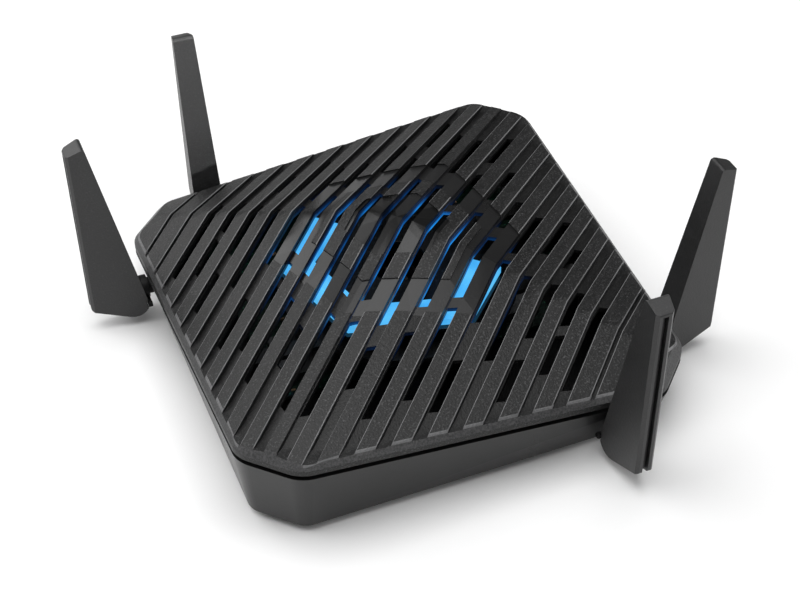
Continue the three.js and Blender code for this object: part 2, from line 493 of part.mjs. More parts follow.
// main board with its processor, thermal pad, heat sink and two shield cans
let board = box(-70, -30, PCB_Z0, 70, 94, PCB_Z1);
board = board.add(box(-17, 13, 9.2, 17, 47, 11.0));
board = board.add(box(66, POWER_Y - 6, PCB_Z0, 93, WPS_Y + 24, PCB_Z1)).add(box(66, 14, PCB_Z0, 93, 76, PCB_Z1));
for (const [x, y] of [[-60, 80], [-52, 80], [-60, 68], [-50, 50], [-50, 38]]) board = board.add(cyl('z', 9.2, 17, x, y, 2.8, 16));
const pad = box(-16, 14, 11.3, 16, 46, 12.1);
let sink = box(-26, 4, 12.4, 26, 56, 15);
for (let i = 0; i <= 8; i++) sink = sink.add(box(-26 + i * 6.3, 4, 14, -24.4 + i * 6.3, 56, 29));
const can = (x0, y0, x1, y1) => box(x0, y0, 9.9, x1, y1, 14).subtract(box(x0 + 0.6, y0 + 0.6, 9, x1 - 0.6, y1 - 0.6, 13.4));

// network sockets: shell with a stepped mouth for the plug and its latch
function netJack(x) {
  let j = box(x - JACK_W / 2, JACK_Y0, JACK_Z0, x + JACK_W / 2, JACK_Y1, JACK_Z1);
  j = j.subtract(box(x - 5.9, JACK_Y0 + 4, 11.0, x + 5.9, JACK_Y1 + 1, 18.6));
  j = j.subtract(box(x - 3.2, JACK_Y0 + 4, 18.5, x + 3.2, JACK_Y1 + 1, 20.4));
  j = j.subtract(box(x - 1.8, JACK_Y0 + 4, 20.3, x + 1.8, JACK_Y1 + 1, 21.7));
  return j;
}
// power inlet: block with a round socket and its centre pin
let dc = box(DC_X - 4.5, 85, PCB_Z1 + 0.3, DC_X + 4.5, 99.2, 20.4);
dc = dc.subtract(cyl('y', 89, 100, DC_X, 15.2, 3.2, 28)).add(cyl('y', 88, 98, DC_X, 15.2, 0.95, 14));
// data port with its tongue
let usb = box(82, USB_Y - 6.8, PCB_Z1 + 0.3 + 1.0, 99.2, USB_Y + 6.8, 17.7);
usb = usb.subtract(box(86, USB_Y - 6.1, 11.6, 100, USB_Y + 6.1, 17.0)).add(box(85, USB_Y - 5.2, 14.6, 98, USB_Y + 5.2, 16.2));
// buttons: cap in front of the panel, flange behind it, stem towards its switch
const button = (y) => unite([cyl('x', 96.4, 101.0, y, 14.5, 4.0, 28), cyl('x', 94.6, 96.9, y, 14.5, 5.4, 28), cyl('x', 91.4, 95, y, 14.5, 1.6, 14)]);
const sw = (y) => unite([box(84.6, y - 3, PCB_Z1 + 0.3, 88.4, y + 3, 17.6), cyl('x', 88, 89.6, y, 14.5, 1.5, 14)]);
const resetBtn = unite([cyl('y', 95.0, 98.2, RESET_X, 14, 1.2, 16), cyl('y', 92.6, 95.6, RESET_X, 14, 2.2, 16)]);
const resetSw = box(RESET_X - 3, 85.4, PCB_Z1 + 0.3, RESET_X + 3, 90.8, 17.4);
board = board.add(box(66, 76, PCB_Z0, 84.4, 92, PCB_Z1)).subtract(cyl('z', 5, 12, SCREW, SCREW, 5.2, 24));
for (const [x, y] of legAt) board = board.subtract(box(x - 4.5, y - 4.5, 5, x + 4.5, y + 4.5, 12));

// feet, screws and label
const foot = (x, y) => cyl('z', 0, 0.9, x, y, 7.2, 28, 8.0).add(cyl('z', 0.9, FOOT_H + 0.6, x, y, 8.0, 28));
const screw = (x, y) => unite([cyl('z', 4.7, 6.7, x, y, 3.0, 24), cyl('z', 6.4, 20, x, y, 1.4, 16)]).subtract(box(x - 1.9, y - 0.35, 4, x + 1.9, y + 0.35, 5.6)).subtract(box(x - 0.35, y - 1.9, 4, x + 0.35, y + 1.9, 5.6));
const label = box(-35.6, -57.6, FOOT_H + 0.05, 35.6, -22.4, FOOT_H + 0.3);

// ---------------------------------------------------------------- materials and assembly
const group = new THREE.Group();
group.name = 'wireless_router';
function part(name, man, color, roughness, metalness = 0, extra = {}) {
  const mat = new THREE.MeshStandardMaterial({ color: new THREE.Color(color), roughness, metalness, ...extra });
  mat.name = name;
  const mesh = new THREE.Mesh(geomOf(man), mat);
  mesh.name = name;
  group.add(mesh);
}
const CHARCOAL = '#2b2c2e', SATIN = '#333437', BLACK = '#0c0c0d', METAL = '#9a9ca0', GOLD = '#c9a14a';
part('base_tub', tub, SATIN, 0.42);
part('top_cover', cover, CHARCOAL, 0.55);
part('inner_frame', frame, BLACK, 0.7);
part('light_board', lightBoard, '#14251d', 0.5);
part('light_guide', guide, '#4fc0ff', 0.25, 0, { transparent: true, opacity: 0.85 });
part('main_board', board, '#163a2a', 0.5);
part('thermal_pad', pad, '#8d9aa3', 0.8);
part('heatsink', sink, '#8b8d90', 0.4, 0.9);
part('shield_can_a', can(-64, -22, -26, 6), METAL, 0.35, 1);
part('shield_can_b', can(26, -22, 64, 6), METAL, 0.35, 1);
for (const k in jackX) part(k, netJack(jackX[k]), k === 'wan_jack' ? '#1f4f8f' : '#17181a', 0.45);
part('dc_jack', dc, BLACK, 0.45);
part('usb_port', usb, METAL, 0.3, 1);
part('power_button', button(POWER_Y), '#1b1c1e', 0.4);
part('wps_button', button(WPS_Y), '#1b1c1e', 0.4);
part('reset_button', resetBtn, '#101113', 0.5);
part('power_switch', sw(POWER_Y), '#151515', 0.5);
part('wps_switch', sw(WPS_Y), '#151515', 0.5);
part('reset_switch', resetSw, '#151515', 0.5);
footAt.forEach(([x, y], i) => part(`foot_${i + 1}`, foot(x, y), '#1a1a1a', 0.9));
screwAt.forEach(([x, y], i) => part(`base_screw_${i + 1}`, screw(x, y), '#5a5c60', 0.35, 1));
part('rating_label', label, '#c9cacc', 0.6);
for (const k in sides) {
  part(`${k}_blade`, place(ant.blade, sides[k]), '#303134', 0.5);
  part(`${k}_spine`, place(ant.spine, sides[k]), BLACK, 0.5);
  part(`${k}_element`, place(ant.element, sides[k]), GOLD, 0.5, 0.3);
  part(`${k}_pivot`, place(ant.pivot, sides[k]), BLACK, 0.4);
  part(`${k}_washer`, place(ant.washer, sides[k]), METAL, 0.35, 1);
}
export default group;
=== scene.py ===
import math
import bpy
import bmesh
from mathutils import Matrix, Vector


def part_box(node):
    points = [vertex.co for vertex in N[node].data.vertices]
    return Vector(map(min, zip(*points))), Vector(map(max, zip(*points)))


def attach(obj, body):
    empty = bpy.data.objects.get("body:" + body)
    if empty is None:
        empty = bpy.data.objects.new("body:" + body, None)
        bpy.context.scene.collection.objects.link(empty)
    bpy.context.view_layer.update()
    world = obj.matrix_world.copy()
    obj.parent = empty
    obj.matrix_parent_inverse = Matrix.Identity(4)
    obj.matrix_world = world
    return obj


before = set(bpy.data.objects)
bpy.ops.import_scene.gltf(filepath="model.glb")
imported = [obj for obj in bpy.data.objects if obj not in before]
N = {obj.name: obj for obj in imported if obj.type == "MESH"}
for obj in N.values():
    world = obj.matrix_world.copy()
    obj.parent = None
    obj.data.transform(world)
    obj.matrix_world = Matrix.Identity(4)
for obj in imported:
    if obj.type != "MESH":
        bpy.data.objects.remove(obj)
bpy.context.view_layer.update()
ANTS = ("left", "back", "right", "front")
scene = bpy.context.scene
S2 = math.sqrt(2.0)

# ------------------------------------------------------------------ material helpers


class Net:
    """A material's node tree with short helpers."""

    def __init__(self, name, spec=0.5, rough=0.5, metal=0.0, ior=1.5, coat=0.0, coat_rough=0.1):
        self.mat = bpy.data.materials.new(name)
        self.mat.use_nodes = True
        self.t = self.mat.node_tree
        self.b = self.t.nodes.get("Principled BSDF")
        self.b.inputs["Roughness"].default_value = rough
        self.b.inputs["Metallic"].default_value = metal
        self.b.inputs["IOR"].default_value = ior
        self.b.inputs["Specular IOR Level"].default_value = spec
        self.b.inputs["Coat Weight"].default_value = coat
        self.b.inputs["Coat Roughness"].default_value = coat_rough
        self.tc = self.t.nodes.new("ShaderNodeTexCoord")

    def n(self, kind):
        return self.t.nodes.new(kind)

    def l(self, a, b):
        self.t.links.new(a, b)

    def coords(self, scale=(1, 1, 1), turn=0.0):
        m = self.n("ShaderNodeMapping")
        m.inputs["Scale"].default_value = scale
        m.inputs["Rotation"].default_value = (0, 0, turn)
        self.l(self.tc.outputs["Object"], m.inputs["Vector"])
        return m.outputs["Vector"]

    def noise(self, scale, detail=3.0, rough=0.55, vec=None):
        x = self.n("ShaderNodeTexNoise")
        x.inputs["Scale"].default_value = scale
        x.inputs["Detail"].default_value = detail
        x.inputs["Roughness"].default_value = rough
        self.l(vec or self.tc.outputs["Object"], x.inputs["Vector"])
        return x.outputs["Fac"]

    def voronoi(self, scale, vec=None):
        x = self.n("ShaderNodeTexVoronoi")
        x.inputs["Scale"].default_value = scale
        self.l(vec or self.tc.outputs["Object"], x.inputs["Vector"])
        return x.outputs["Distance"]

    def math(self, op, a, b=None, c=None, clamp=False):
        x = self.n("ShaderNodeMath")
        x.operation = op
        x.use_clamp = clamp
        for i, v in enumerate((a, b, c)):
            if v is None:
                continue
            if isinstance(v, (int, float)):
                x.inputs[i].default_value = v
            else:
                self.l(v, x.inputs[i])
        return x.outputs[0]

    def ramp(self, fac, stops):
        r = self.n("ShaderNodeValToRGB")
        e = r.color_ramp.elements
        while len(e) < len(stops):
            e.new(0.5)
        for el, (p, c) in zip(e, stops):
            el.position = p
            el.color = (*c, 1.0) if len(c) == 3 else c
        self.l(fac, r.inputs["Fac"])
        return r.outputs["Color"]

    def remap(self, fac, a, b, lo, hi):
        r = self.n("ShaderNodeMapRange")
        r.inputs["From Min"].default_value = a
        r.inputs["From Max"].default_value = b
        r.inputs["To Min"].default_value = lo
        r.inputs["To Max"].default_value = hi
        self.l(fac, r.inputs["Value"])
        return r.outputs["Result"]

    def mixc(self, fac, a, b):
        x = self.n("ShaderNodeMix")
        x.data_type = "RGBA"
        self.l(fac, x.inputs["Factor"])
        for sock, v in ((x.inputs[6], a), (x.inputs[7], b)):
            if isinstance(v, tuple):
                sock.default_value = (*v, 1.0)
            else:
                self.l(v, sock)
        return x.outputs[2]

    def bump(self, height, strength=0.3, distance=0.0002, normal=None):
        b = self.n("ShaderNodeBump")
        b.inputs["Strength"].default_value = strength
        b.inputs["Distance"].default_value = distance
        self.l(height, b.inputs["Height"])
        if normal is not None:
            self.l(normal, b.inputs["Normal"])
        return b.outputs["Normal"]

    def put(self, **kw):
        for k, v in kw.items():
            self.l(v, self.b.inputs[k.replace("_", " ")])
        return self.mat


def grey(v, tint=(1.0, 1.0, 1.02)):
    return tuple(v * t for t in tint)


def grained_plastic(name, base, rough=0.5, grain=1500.0, bump=0.25, sparkle=0.35, tint=(1, 1, 1.02)):
    """Moulded plastic with a fine spark-eroded grain: tiny bumps, light flecks, slow tone changes."""
    m = Net(name, rough=rough)
    fine = m.noise(grain, 2.0, 0.6)
    cell = m.voronoi(grain * 0.8)
    slow = m.noise(18.0, 2.0)
    fleck = m.remap(fine, 0.60, 0.78, 0.0, sparkle)
    tone = m.remap(slow, 0.3, 0.7, 0.88, 1.12)
    dark = m.ramp(fine, [(0.30, grey(base * 0.72, tint)), (0.65, grey(base * 1.25, tint))])
    col = m.mixc(fleck, dark, grey(min(1.0, base * 4.5 + 0.02), tint))
    mul = m.n("ShaderNodeMix"); mul.data_type = "RGBA"; mul.blend_type = "MULTIPLY"
    mul.inputs["Factor"].default_value = 1.0
    m.l(col, mul.inputs[6])
    comb = m.n("ShaderNodeCombineColor")
    for i in range(3):
        m.l(tone, comb.inputs[i])
    m.l(comb.outputs[0], mul.inputs[7])
    r = m.remap(fine, 0.3, 0.7, rough - 0.09, rough + 0.10)
    h = m.math("ADD", fine, m.math("MULTIPLY", cell, 0.6))
    return m, m.put(Base_Color=mul.outputs[2], Roughness=r, Normal=m.bump(h, bump, 0.00018))


def satin_plastic(name, base, rough=0.33, tint=(1, 1, 1.02)):
    """Smooth satin moulding: faint orange peel, slow tone change and a few soft handling marks."""
    m = Net(name, spec=0.40, rough=rough)
    peel = m.noise(420.0, 2.0)
    slow = m.noise(9.0, 3.0)
    smear = m.noise(30.0, 4.0, 0.65, m.coords((1.0, 1.0, 0.35)))
    col = m.ramp(slow, [(0.3, grey(base * 0.88, tint)), (0.7, grey(base * 1.14, tint))])
    r = m.remap(smear, 0.35, 0.70, rough - 0.03, rough + 0.07)
    return m.put(Base_Color=col, Roughness=r, Normal=m.bump(peel, 0.12, 0.0001))


def simple(name, base, rough=0.4, metal=0.0, tint=(1, 1, 1), scale=300.0, bump=0.1, var=0.12, rvar=0.06, coat=0.0, ior=1.5):
    m = Net(name, rough=rough, metal=metal, coat=coat, ior=ior)
    n1 = m.noise(scale, 3.0)
    n2 = m.noise(scale * 0.07, 2.0)
    s = m.math("ADD", m.math("MULTIPLY", n1, 0.5), m.math("MULTIPLY", n2, 0.5))
    c = base if isinstance(base, tuple) else grey(base, tint)
    lo = tuple(x * (1 - var) for x in c); hi = tuple(min(1.0, x * (1 + var)) for x in c)
    return m.put(Base_Color=m.ramp(s, [(0.35, lo), (0.65, hi)]), Roughness=m.remap(n1, 0.3, 0.7, rough - rvar, rough + rvar), Normal=m.bump(n1, bump, 0.0001))


def brushed(name, base, rough=0.3, along=(1, 12, 12)):
    m = Net(name, rough=rough, metal=1.0)
    v = m.coords(along)
    n1 = m.noise(700.0, 3.0, 0.6, v)
    n2 = m.noise(30.0, 2.0)
    c = m.ramp(n1, [(0.3, tuple(x * 0.82 for x in base)), (0.7, base)])
    return m.put(Base_Color=c, Roughness=m.remap(n2, 0.3, 0.7, rough - 0.06, rough + 0.1), Normal=m.bump(n1, 0.12, 0.0001))


# ------------------------------------------------------------------ the cover's material
# Grained ribs, with the sunk six-sided fields polished and each sector leaning its own way.
def cover_material():
    m = Net("cover_grained_plastic", spec=0.36, rough=0.5)
    sep = m.n("ShaderNodeSeparateXYZ")
    m.l(m.tc.outputs["Object"], sep.inputs[0])
    X, Y = sep.outputs[0], sep.outputs[1]
    xd = m.math("MULTIPLY", m.math("SUBTRACT", X, Y), 1 / S2)
    yd = m.math("MULTIPLY", m.math("ADD", X, Y), 1 / S2)
    ax = m.math("ABSOLUTE", xd)
    a1 = m.math("ABSOLUTE", m.math("ADD", m.math("MULTIPLY", xd, 0.5), m.math("MULTIPLY", yd, 0.8660254)))
    a2 = m.math("ABSOLUTE", m.math("SUBTRACT", m.math("MULTIPLY", xd, 0.5), m.math("MULTIPLY", yd, 0.8660254)))
    d = m.math("MAXIMUM", ax, m.math("MAXIMUM", a1, a2))
    c30 = math.cos(math.radians(30))
    inner, ro, ri = 0.024 * c30, 0.058 * c30, 0.039 * c30
    core = m.math("LESS_THAN", d, inner + 0.0001)
    band = m.math("MULTIPLY", m.math("LESS_THAN", d, ro + 0.0001), m.math("GREATER_THAN", d, ri - 0.0001))
    polished = m.math("MAXIMUM", core, band)

    fine = m.noise(1150.0, 2.0, 0.6)
    cell = m.voronoi(1000.0)
    slow = m.noise(14.0, 2.0)
    B = COVER_BASE
    dark = m.ramp(fine, [(0.30, grey(B * 0.55)), (0.65, grey(B * 1.3))])
    grain_and_channel_shade_c = m.mixc(m.remap(fine, 0.56, 0.74, 0.0, 0.55), dark, grey(B * 8 + 0.05))
    # each sector of the polished fields has its own shade
    sector = m.math("FLOOR", m.math("DIVIDE", m.math("ADD", m.math("ARCTAN2", yd, xd), 7.3304), math.pi / 3))
    wn = m.n("ShaderNodeTexWhiteNoise"); wn.noise_dimensions = "1D"
    m.l(m.math("ADD", sector, m.math("MULTIPLY", core, 11.0)), wn.inputs["W"])
    gloss_c = m.mixc(wn.outputs["Value"], grey(B * 0.45), grey(B * 1.5 + 0.004))
    # height of the rib tops here, and how far below them this point lies
    roof = m.math("MINIMUM", m.math("SUBTRACT", 0.0735, m.math("MULTIPLY", ax, 0.19286)), m.math("SUBTRACT", 0.0764, m.math("MULTIPLY", ax, 0.331)))
    roof = m.math("SUBTRACT", roof, m.math("MULTIPLY", m.math("ABSOLUTE", yd), 0.196))
    deep = m.math("SUBTRACT", roof, sep.outputs[2])
    geo = m.n("ShaderNodeNewGeometry")
    gs = m.n("ShaderNodeSeparateXYZ"); m.l(geo.outputs["True Normal"], gs.inputs[0])
    nxd = m.math("ABSOLUTE", m.math("MULTIPLY", m.math("SUBTRACT", gs.outputs[0], gs.outputs[1]), 1 / S2))
    # painted shade: channel floors are darkened below the rib tops, standing in for the shade down in the channels
    painted_channel_shade = m.math("MULTIPLY", m.math("GREATER_THAN", deep, 0.0011), m.math("GREATER_THAN", gs.outputs[2], 0.6))
    grain_and_channel_shade_c = m.mixc(m.math("MULTIPLY", painted_channel_shade, 0.6), grain_and_channel_shade_c, grey(B * 0.25))
    # painted highlight: rib top edges are painted lighter, standing in for light caught on their chamfers
    painted_edge_highlight = m.math("MULTIPLY", m.math("MULTIPLY", m.math("GREATER_THAN", nxd, 0.42), m.math("GREATER_THAN", gs.outputs[2], 0.3)), m.math("LESS_THAN", deep, 0.0007))
    col = m.mixc(polished, grain_and_channel_shade_c, gloss_c)
    col = m.mixc(m.math("MULTIPLY", painted_edge_highlight, EDGE_HIGHLIGHT_MIX), col, grey(EDGE_HIGHLIGHT_TONE))
    # painted highlight: the rim's bevel is painted lighter as if catching more light, and its outer edge lightest
    sq = m.math("MAXIMUM", m.math("ABSOLUTE", X), m.math("ABSOLUTE", Y))
    dg = m.math("SUBTRACT", m.math("MAXIMUM", ax, m.math("ABSOLUTE", yd)), 0.1342 - 0.10536)
    rim = m.math("GREATER_THAN", m.math("MAXIMUM", sq, dg), 0.1017)
    bevel = m.math("MULTIPLY", rim, m.math("MULTIPLY", m.math("GREATER_THAN", gs.outputs[2], 0.58), m.math("LESS_THAN", gs.outputs[2], 0.86)))
    painted_lip_highlight = m.math("MULTIPLY", rim, m.math("MULTIPLY", m.math("GREATER_THAN", gs.outputs[2], 0.12), m.math("LESS_THAN", gs.outputs[2], 0.58)))
    col = m.mixc(m.math("MULTIPLY", bevel, m.remap(fine, 0.35, 0.65, 0.35, 0.8)), col, grey(RIM_HIGHLIGHT_TONE))
    col = m.mixc(m.math("MULTIPLY", painted_lip_highlight, 0.85), col, grey(EDGE_HIGHLIGHT_TONE))
    # painted light: channel and slot walls over the light guide glow blue by emission, standing in for the guide's
    # blue light falling on them
    wall = m.math("LESS_THAN", m.math("ABSOLUTE", gs.outputs[2]), 0.5)
    sink = m.remap(deep, 0.0014, 0.0042, 0.0, 1.0)
    e1 = m.math("DIVIDE", xd, 0.062); e2 = m.math("DIVIDE", m.math("ADD", yd, 0.012), 0.056)
    near = m.math("SUBTRACT", 1.15, m.math("ADD", m.math("MULTIPLY", e1, e1), m.math("MULTIPLY", e2, e2)), clamp=True)
    patch = m.remap(m.noise(38.0, 1.0), 0.35, 0.62, 0.15, 1.0)
    painted_wall_light = m.math("MULTIPLY", m.math("MULTIPLY", wall, sink), m.math("MULTIPLY", near, patch))
    m.l(m.ramp(painted_wall_light, [(0.0, (0.001, 0.02, 0.10)), (0.6, (0.006, 0.10, 0.36)), (1.0, (0.012, 0.24, 0.70))]), m.b.inputs["Emission Color"])
    m.l(m.math("MULTIPLY", painted_wall_light, WALL_PAINTED_LIGHT), m.b.inputs["Emission Strength"])
    r_grain = m.remap(fine, 0.3, 0.7, 0.38, 0.60)
    r_pol = m.remap(slow, 0.3, 0.7, 0.24, 0.32)
    rm = m.n("ShaderNodeMix"); rm.data_type = "FLOAT"
    m.l(polished, rm.inputs["Factor"]); m.l(r_grain, rm.inputs[2]); m.l(r_pol, rm.inputs[3])
    h = m.math("ADD", fine, m.math("MULTIPLY", cell, 0.6))
    hg = m.math("MULTIPLY", h, m.math("SUBTRACT", 1.0, m.math("MULTIPLY", polished, 0.93)))
    n1 = m.bump(hg, 0.75, 0.0002)
    # facet lean: height falls away from the middle of the band, in metres
    lean = m.math("MULTIPLY", m.math("MULTIPLY", d, polished), -0.05)
    n2 = m.bump(lean, 1.0, 1.0, n1)
    return m.put(Base_Color=col, Roughness=rm.outputs[0], Normal=n2)


COVER_BASE = 0.009
# painted highlight and painted light settings: rib and lip edge highlight mix and tone, rim bevel highlight tone,
# strength of the blue light painted on the walls
EDGE_HIGHLIGHT_MIX, EDGE_HIGHLIGHT_TONE, RIM_HIGHLIGHT_TONE, WALL_PAINTED_LIGHT = 0.9, 0.20, 0.085, 1.5
BASE_BASE = 0.007
BLADE_BASE = 0.016

M = {}
M["cover"] = cover_material()
M["base"] = satin_plastic("base_satin_plastic", BASE_BASE, 0.30)
_, M["blade"] = grained_plastic("antenna_grained_plastic", BLADE_BASE, 0.44, 1300.0, 0.30, 0.30)
bm_net, M["black"] = grained_plastic("black_moulding", 0.004, 0.5, 900.0, 0.15, 0.05)
bm_net.b.inputs["Specular IOR Level"].default_value = 0.2
M["spine"] = simple("antenna_strip_black", 0.004, 0.45, scale=500.0)
M["frame"] = simple("inner_frame_black", 0.008, 0.6, scale=200.0)
M["button"] = simple("button_satin_black", 0.018, 0.35, scale=400.0)
M["foot"] = simple("foot_rubber", 0.02, 0.85, scale=900.0, bump=0.35, var=0.25)
M["label"] = simple("label_film", 0.62, 0.5, scale=1200.0, bump=0.05, var=0.04)
M["tin"] = brushed("tinplate", (0.72, 0.73, 0.75), 0.28)
# painted shade: the shield cans take a darkened copy of the tinplate, dimming the key lamp's reflection on them
M["can"] = brushed("shield_can_tin_painted_dark", (0.16, 0.165, 0.17), 0.5)
M["steel"] = brushed("zinc_steel", (0.45, 0.46, 0.48), 0.32)
M["alu"] = brushed("heatsink_aluminium", (0.10, 0.10, 0.105), 0.5, (1, 10, 1))
M["sock_blue"] = simple("socket_blue", (0.012, 0.06, 0.24), 0.35, scale=600.0)
M["sock_black"] = simple("socket_black", 0.014, 0.32, scale=600.0)
M["gold"] = brushed("gold_contact", (0.85, 0.6, 0.22), 0.25)
M["pad"] = simple("thermal_pad", (0.25, 0.29, 0.33), 0.9, scale=800.0, bump=0.4)
M["chip"] = simple("chip_black", 0.02, 0.5, scale=1500.0, bump=0.2)
M["capacitor"] = simple("component_tan", (0.35, 0.24, 0.14), 0.4, scale=1500.0)
M["inductor"] = simple("inductor_grey", 0.08, 0.55, scale=900.0)


def board_material(name, base, track):
    """Solder mask over copper: fine orthogonal tracks and round pads show as slight relief."""
    m = Net(name, rough=0.35, coat=0.3)
    br = m.n("ShaderNodeTexBrick")
    br.inputs["Scale"].default_value = 90.0
    br.inputs["Mortar Size"].default_value = 0.035
    br.inputs["Color1"].default_value = (*base, 1)
    br.inputs["Color2"].default_value = (*tuple(x * 0.85 for x in base), 1)
    br.inputs["Mortar"].default_value = (*track, 1)
    m.l(m.tc.outputs["Object"], br.inputs["Vector"])
    v = m.voronoi(260.0)
    pads = m.math("LESS_THAN", v, 0.14)
    col = m.mixc(m.math("MULTIPLY", pads, 0.6), br.outputs["Color"], tuple(min(0.5, 8 * t) for t in track))
    return m.put(Base_Color=col, Roughness=m.remap(m.noise(60.0), 0.3, 0.7, 0.28, 0.42), Normal=m.bump(br.outputs["Fac"], 0.3, 0.00005))


M["board"] = board_material("main_board_mask", (0.003, 0.014, 0.009), (0.006, 0.03, 0.017))
M["lboard"] = board_material("light_board_mask", (0.002, 0.003, 0.004), (0.004, 0.007, 0.009))
M["element"] = board_material("radiator_board", (0.28, 0.2, 0.06), (0.6, 0.45, 0.16))


def glow_material():
    m = Net("light_guide_lit", rough=0.25, ior=1.49)
    slow = m.noise(45.0, 2.0)
    col = m.ramp(slow, [(0.3, (0.01, 0.10, 0.30)), (0.7, (0.03, 0.16, 0.36))])
    m.b.inputs["Emission Strength"].default_value = GLOW
    return m.put(Base_Color=col, Emission_Color=m.ramp(slow, [(0.3, (0.045, 0.36, 0.80)), (0.7, (0.12, 0.56, 0.95))]), Roughness=m.remap(slow, 0.3, 0.7, 0.2, 0.35))


GLOW = 1.0
M["glow"] = glow_material()

ASSIGN = {
    "base_tub": "base", "top_cover": "cover", "inner_frame": "frame", "light_board": "lboard", "light_guide": "glow",
    "main_board": "board", "thermal_pad": "pad", "heatsink": "alu", "shield_can_a": "can", "shield_can_b": "can",
    "wan_jack": "sock_blue", "dc_jack": "sock_black", "usb_port": "tin", "rating_label": "label",
}
for name, o in N.items():
    key = ASSIGN.get(name)
    if key is None:
        if name.startswith("lan_jack"): key = "sock_black"
        elif name.endswith("_button"): key = "button"
        elif name.endswith("_switch"): key = "chip"
        elif name.startswith("foot"): key = "foot"
        elif name.startswith("base_screw") or name.endswith("_washer"): key = "steel"
        elif name.endswith("_blade"): key = "blade"
        elif name.endswith("_spine"): key = "spine"
        elif name.endswith("_element"): key = "element"
        else: key = "black"
    o.data.materials.clear()
    o.data.materials.append(M[key])


# ------------------------------------------------------------------ edges of the CAD solids
def soften(o, width, segments=2, angle=28.0):
    """Weld the facets, round the real edges a little and shade the flats flat."""
    for p in o.data.polygons:
        p.use_smooth = True
    w = o.modifiers.new("weld", "WELD"); w.merge_threshold = 1e-6
    if width:
        b = o.modifiers.new("round", "BEVEL")
        b.width = width; b.segments = segments; b.limit_method = "ANGLE"; b.angle_limit = math.radians(angle)
        b.use_clamp_overlap = True; b.miter_outer = "MITER_ARC" if segments > 1 else "MITER_SHARP"
    n = o.modifiers.new("normals", "WEIGHTED_NORMAL"); n.keep_sharp = True; n.weight = 50


# ------------------------------------------------------------------ small pieces made here
def finish_mesh(name, bm, mat, body, smooth=False, bevel=0.0, segs=2):
    me = bpy.data.meshes.new(name)
    bmesh.ops.recalc_face_normals(bm, faces=bm.faces)
    bm.to_mesh(me); bm.free()
    o = bpy.data.objects.new(name, me)
    scene.collection.objects.link(o)
    me.materials.append(M[mat])
    if smooth:
        for p in me.polygons: p.use_smooth = True
    if bevel:
        b = o.modifiers.new("round", "BEVEL"); b.width = bevel; b.segments = segs; b.limit_method = "ANGLE"; b.angle_limit = math.radians(30)
        b.harden_normals = False
    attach(o, body)
    return o


def bm_box(bm, lo, hi):
    x0, y0, z0 = lo; x1, y1, z1 = hi
    v = [bm.verts.new(p) for p in ((x0, y0, z0), (x1, y0, z0), (x1, y1, z0), (x0, y1, z0), (x0, y0, z1), (x1, y0, z1), (x1, y1, z1), (x0, y1, z1))]
    for f in ((0, 3, 2, 1), (4, 5, 6, 7), (0, 1, 5, 4), (1, 2, 6, 5), (2, 3, 7, 6), (3, 0, 4, 7)):
        bm.faces.new([v[i] for i in f])


def bm_sweep(bm, pts, w, t):
    """A flat strip of width w (along X) and thickness t following points in the Y-Z plane."""
    rings = []
    for i, (x, y, z) in enumerate(pts):
        a = Vector(pts[max(0, i - 1)]); b = Vector(pts[min(len(pts) - 1, i + 1)])
        d = (b - a).normalized(); up = Vector((1, 0, 0)).cross(d).normalized()
        c = Vector((x, y, z))
        rings.append([bm.verts.new(c + Vector((sx * w / 2, 0, 0)) + up * (sz * t / 2)) for sx, sz in ((-1, -1), (1, -1), (1, 1), (-1, 1))])
    for r, s in zip(rings, rings[1:]):
        for k in range(4):
            bm.faces.new((r[k], r[(k + 1) % 4], s[(k + 1) % 4], s[k]))
    bm.faces.new(rings[0][::-1]); bm.faces.new(rings[-1])


# eight sprung contacts in each network socket
for name in ("wan_jack", "lan_jack_1", "lan_jack_2", "lan_jack_3", "lan_jack_4"):
    lo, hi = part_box(name)
    cx = (lo.x + hi.x) / 2
    bm = bmesh.new()
    for i in range(8):
        x = cx + (i - 3.5) * 0.00102
        pts = [(x, hi.y - 0.0030, 0.01130), (x, hi.y - 0.0036, 0.01190), (x, hi.y - 0.0050, 0.01270), (x, hi.y - 0.0075, 0.01390), (x, hi.y - 0.0100, 0.01500), (x, hi.y - 0.0118, 0.01560)]
        bm_sweep(bm, pts, 0.00042, 0.00026)
    finish_mesh(name + "_contacts", bm, "gold", "housing")

# components on the main board
bm = bmesh.new()
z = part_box("main_board")[0].z + 0.0016
for i, (x, y, w, d, h) in enumerate(((-40, 36, 12, 12, 1.2), (-40, 18, 10, 7, 1.0), (40, 30, 13, 9, 1.1), (40, 44, 13, 9, 1.1), (46, 60, 9, 9, 0.9), (-14, 66, 15, 15, 1.6), (12, 66, 15, 15, 1.6), (36, 66, 15, 12, 1.6), (0, -14, 14, 6, 0.9), (-8, -24, 6, 5, 0.8), (12, -22, 7, 5, 0.8))):
    bm_box(bm, ((x - w / 2) / 1000, (y - d / 2) / 1000, z + 0.00005), ((x + w / 2) / 1000, (y + d / 2) / 1000, z + h / 1000))
finish_mesh("board_chips", bm, "chip", "housing", bevel=0.0002)
bm = bmesh.new()
for i in range(46):
    x = -62 + (i * 37) % 124; y = -27 + (i * 53) % 108
    if abs(x) < 28 and 2 < y < 58: continue
    if -26 < y < 8 and 24 < abs(x) < 66: continue
    if y > 74: continue
    s = 1.0 + (i % 3) * 0.35
    bm_box(bm, ((x - s) / 1000, (y - s * 0.5) / 1000, z + 0.00005), ((x + s) / 1000, (y + s * 0.5) / 1000, z + (0.7 + 0.2 * (i % 2)) / 1000))
finish_mesh("board_small_parts", bm, "capacitor", "housing", bevel=0.0001)

